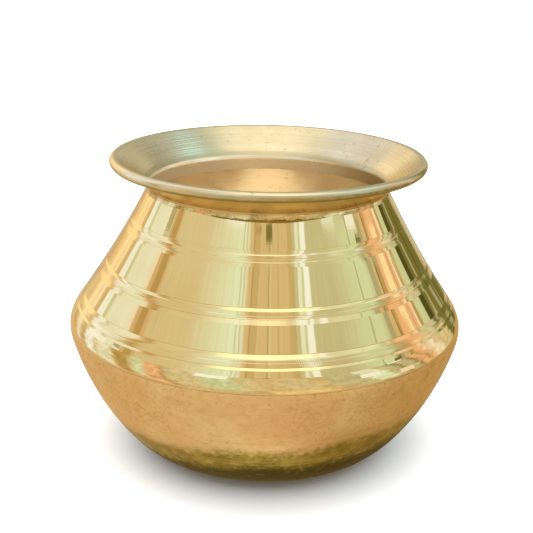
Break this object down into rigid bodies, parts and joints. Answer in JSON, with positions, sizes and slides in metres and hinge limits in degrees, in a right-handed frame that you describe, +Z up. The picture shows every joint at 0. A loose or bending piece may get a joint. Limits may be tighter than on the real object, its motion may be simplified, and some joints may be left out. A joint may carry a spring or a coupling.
{
  "type": "kalash pot",
  "caption": "Wide-mouthed round brass water pot: satin bowl, polished sloping shoulder with turned bands, flared mouth with a rolled wired edge.",
  "frame": {"origin": "centre of the flat base, on the surface that the pot stands on", "axes": "+Z up along the axis the pot was turned about; the pot is round, so +X and +Y are any two level directions"},
  "size_m": [0.22, 0.22, 0.1664],
  "materials": {
    "satin_brass": "satin, faintly scratched and mottled",
    "polished_brass": "mirror polished",
    "lathe_turned_brass": "satin with concentric turning marks",
    "drawn_wire": "drawn, hidden inside the rolled edge",
    "braze": "filed braze"
  },
  "bodies": {
    "root": {"lower_bowl": "satin_brass", "shoulder_shell": "polished_brass", "flared_mouth": "lathe_turned_brass", "rim_wire": "drawn_wire", "belly_braze": "braze", "neck_braze": "braze"}
  },
  "joints": []
}
